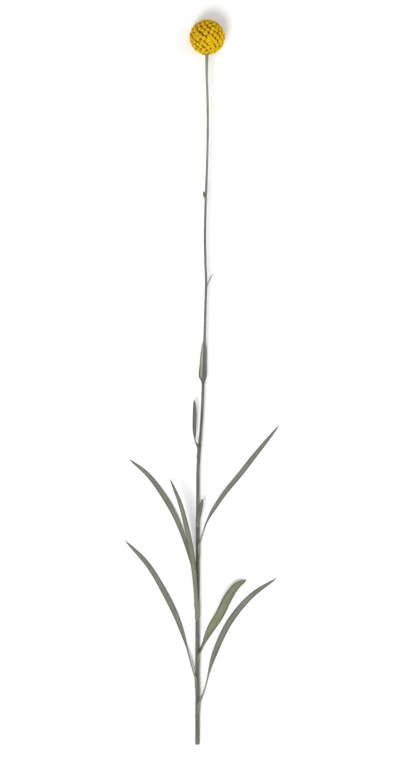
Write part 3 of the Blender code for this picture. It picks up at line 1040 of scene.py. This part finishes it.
def build_bead_cups(material):
    """A cup under each bead, in rings of a radius, a height and how far its seven scales rise above that."""
    scale = (np.arange(CUP_SIDES) % 2 == 0).astype(float)
    turns = 2 * math.pi * np.arange(CUP_SIDES) / CUP_SIDES
    points, rises = [], []
    for top, outward, size, turn in bead_places():
        side, other = bead_sides(outward)
        away = np.cos(turns + turn)[:, None] * side + np.sin(turns + turn)[:, None] * other
        for radius, height, scale_rise in CUP_RINGS:
            ring = top + size * radius * away + (height + scale_rise * scale)[:, None] * outward
            points.append(ring)
            reach = np.linalg.norm(ring - HEAD_CENTRE, axis=1)
            rises.append((reach - CUP_LOWEST) / (CUP_HIGHEST - CUP_LOWEST))
    faces = copied_faces(loft_faces(len(CUP_RINGS), CUP_SIDES), len(CUP_RINGS) * CUP_SIDES, BEADS)
    notes = {"rise": np.concatenate(rises)}
    plant_piece("bead_scale_cups", np.concatenate(points), faces, material, None, notes)


def build_head_core(material):
    """A faintly lumpy ball, built as rings round the stalk's line."""
    along, side, up = head_frame()
    polar = np.linspace(0.02, math.pi - 0.02, CORE_ROWS)
    turn = 2 * math.pi * np.arange(CORE_SIDES) / CORE_SIDES
    spread = np.sin(polar)[:, None, None]
    ball = np.cos(polar)[:, None, None] * along + spread * (
        np.cos(turn)[None, :, None] * side + np.sin(turn)[None, :, None] * up
    )
    lumps = 0.12 * np.sin(9 * polar)[:, None] * np.cos(8 * turn)[None, :]
    rings = np.array(HEAD_CENTRE) + (HEAD_CORE_RADIUS - 0.25 + lumps)[:, :, None] * ball
    faces = loft_faces(CORE_ROWS, CORE_SIDES)
    # The core takes the scales' dark brown from its low rise: painted shade for the gaps between the beads.
    notes = {"rise": np.full(CORE_ROWS * CORE_SIDES, 0.12)}
    plant_piece("head_core", rings.reshape(-1, 3), faces, material, None, notes)


brown_scales = scale_finish()
build_head_core(brown_scales)
build_bead_cups(brown_scales)
all_beads = list(bead_places())
floret_draw = np.random.default_rng(31)
lemon_florets = floret_colours()
build_florets("yellow_florets", all_beads[: BEADS // 2], floret_draw, lemon_florets, "flower_head")
build_florets("yellow_florets_near_stalk", all_beads[BEADS // 2 :], floret_draw, lemon_florets, None)


# The table and the light
# A plain near-white table top a hair under the laid stem, a broad soft light from above its foot and a
# little to the left, a weaker one from the right, and a pale surround that fills the shadows.
TABLE_REACH = 4.0
TABLE_HEIGHT = -0.0002


def build_table():
    mesh = bpy.data.meshes.new("table_top")
    signs = ((-1, -1), (1, -1), (1, 1), (-1, 1))
    corners = [(TABLE_REACH * x, TABLE_REACH * y, TABLE_HEIGHT) for x, y in signs]
    mesh.from_pydata(corners, [], [(0, 1, 2, 3)])
    table = bpy.data.objects.new("table_top", mesh)
    bpy.context.scene.collection.objects.link(table)
    paper = bpy.data.materials.new("white_table")
    paper.use_nodes = True
    shader = paper.node_tree.nodes["Principled BSDF"]
    shader.inputs["Base Color"].default_value = (0.90, 0.90, 0.90, 1.0)
    shader.inputs["Roughness"].default_value = 0.9
    shader.inputs["Specular IOR Level"].default_value = 0.1
    mesh.materials.append(paper)


def soft_light(name, place, size, power):
    lamp = bpy.data.lights.new(name, "AREA")
    lamp.shape = "DISK"
    lamp.size = size
    lamp.energy = power
    light = bpy.data.objects.new(name, lamp)
    light.location = place
    direction = -light.location
    light.rotation_euler = direction.to_track_quat("-Z", "Y").to_euler()
    bpy.context.scene.collection.objects.link(light)


def light_the_table():
    soft_light("key_from_foot", (-0.5, -1.0, 1.9), 1.0, 36.0)
    soft_light("fill_from_right", (1.4, 0.3, 1.2), 1.2, 8.0)
    world = bpy.data.worlds.new("pale_surround")
    bpy.context.scene.world = world
    world.use_nodes = True
    surround = world.node_tree.nodes["Background"]
    surround.inputs["Color"].default_value = (1.0, 1.0, 1.0, 1.0)
    surround.inputs["Strength"].default_value = 0.60
    bpy.context.scene.view_settings.view_transform = "Standard"


build_table()
light_the_table()


# The camera
# Straight above the table with a long lens, the head at the top of the picture as it stands in life.
CAMERA_HEIGHT = 1.8
VIEW_LENGTH = 0.530
SENSOR = 36.0


def place_camera():
    lens = bpy.data.cameras.new("view_from_above")
    lens.sensor_width = SENSOR
    lens.lens = SENSOR * CAMERA_HEIGHT / VIEW_LENGTH
    lens.clip_start = 0.01
    lens.clip_end = 20.0
    camera = bpy.data.objects.new("view_from_above", lens)
    camera.location = (0.0, 0.0, CAMERA_HEIGHT)
    bpy.context.scene.collection.objects.link(camera)
    bpy.context.scene.camera = camera


place_camera()
